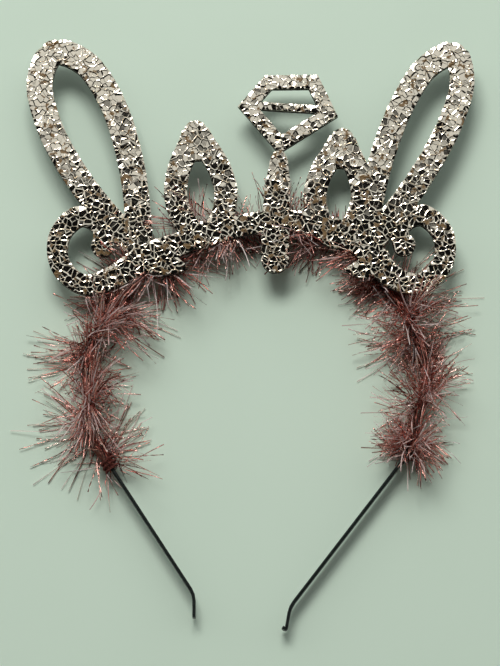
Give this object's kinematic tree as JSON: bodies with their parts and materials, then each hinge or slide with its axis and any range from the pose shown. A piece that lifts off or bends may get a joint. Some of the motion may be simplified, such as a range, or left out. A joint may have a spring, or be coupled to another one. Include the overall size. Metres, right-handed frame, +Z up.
{
  "type": "bride tiara headband",
  "caption": "Dress-up tiara: thin black steel headband wound with copper tinsel, with a flat pierced crest of crackled champagne foil.",
  "frame": {"origin": "on the surface that the tiara lies on, under the middle of its outer box", "axes": "+Z up out of the crest's face, +Y from the headband's tips to the crest, +X to the viewer's right as the crest is looked at"},
  "size_m": [0.1728, 0.2286, 0.024],
  "materials": {
    "black_steel": "black satin lacquer on thin strip",
    "copper_tinsel": "shiny copper rose metallised film cut into thin strands",
    "clear_tinsel": "pale see-through film strands with a pinkish sheen",
    "gold_foil": "crackled champagne gold mirror foil with tan worn spots",
    "dark_foam": "matt dark foam sheet, cut edge and back"
  },
  "bodies": {
    "root": {"headband_strip": "black_steel", "tinsel_garland": "copper_tinsel", "foil_crest": "gold_foil"}
  },
  "joints": []
}
